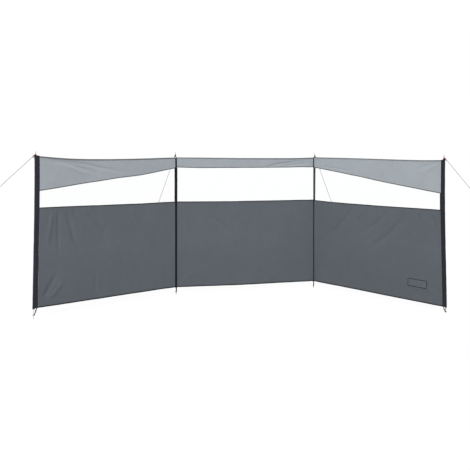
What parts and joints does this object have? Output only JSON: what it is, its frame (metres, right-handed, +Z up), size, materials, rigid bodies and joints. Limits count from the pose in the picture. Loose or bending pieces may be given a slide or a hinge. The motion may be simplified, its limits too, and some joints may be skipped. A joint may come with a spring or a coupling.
{
  "type": "beach windbreak",
  "caption": "Folding beach windbreak of dark panels with clear windows and a pale top band, on steel poles with guy lines.",
  "frame": {"origin": "centre of the inner left pole's foot, at ground level", "axes": "+Z up, +X along the centre bay from the inner left pole to the inner right pole, -Y towards the sheltered side that the wings are turned to"},
  "size_m": [6.023, 3.6408, 1.5354],
  "materials": {
    "charcoal_cloth": "matt woven polyester cotton",
    "pale_cloth": "matt woven polyester cotton",
    "black_cloth": "matt heavy pole sleeve cloth",
    "clear_film": "clear flexible film",
    "steel_tube": "zinc plated steel",
    "steel_pin": "zinc plated steel",
    "black_plastic": "moulded",
    "black_elastic": "braided elastic cord",
    "guy_cord": "braided cord",
    "patch_cloth": "woven patch with a dark stitched border"
  },
  "bodies": {
    "root": {"outer_left_tube": "steel_tube", "outer_left_cap_and_pin": "black_plastic", "outer_left_ground_spike": "steel_pin", "outer_left_pole_sleeve": "black_cloth", "outer_left_foot_loop": "black_elastic", "outer_left_guy_line": "guy_cord", "outer_left_guy_runner": "black_plastic", "outer_left_guy_peg": "steel_pin", "inner_left_tube": "steel_tube", "inner_left_cap_and_pin": "black_plastic", "inner_left_ground_spike": "steel_pin", "inner_left_pole_sleeve": "black_cloth", "inner_left_foot_loop": "black_elastic", "inner_left_guy_line": "guy_cord", "inner_left_guy_runner": "black_plastic", "inner_left_guy_peg": "steel_pin", "inner_right_tube": "steel_tube", "inner_right_cap_and_pin": "black_plastic", "inner_right_ground_spike": "steel_pin", "inner_right_pole_sleeve": "black_cloth", "inner_right_foot_loop": "black_elastic", "inner_right_guy_line": "guy_cord", "inner_right_guy_runner": "black_plastic", "inner_right_guy_peg": "steel_pin", "outer_right_tube": "steel_tube", "outer_right_cap_and_pin": "black_plastic", "outer_right_ground_spike": "steel_pin", "outer_right_pole_sleeve": "black_cloth", "outer_right_foot_loop": "black_elastic", "outer_right_guy_line": "guy_cord", "outer_right_guy_runner": "black_plastic", "outer_right_guy_peg": "steel_pin", "left_lower_panel": "charcoal_cloth", "left_window": "clear_film", "left_top_band": "pale_cloth", "centre_lower_panel": "charcoal_cloth", "centre_window": "clear_film", "centre_top_band": "pale_cloth", "right_lower_panel": "charcoal_cloth", "right_window": "clear_film", "right_top_band": "pale_cloth", "inner_left_seam_tape": "black_cloth", "inner_right_seam_tape": "black_cloth", "blank_patch": "patch_cloth"}
  },
  "joints": []
}
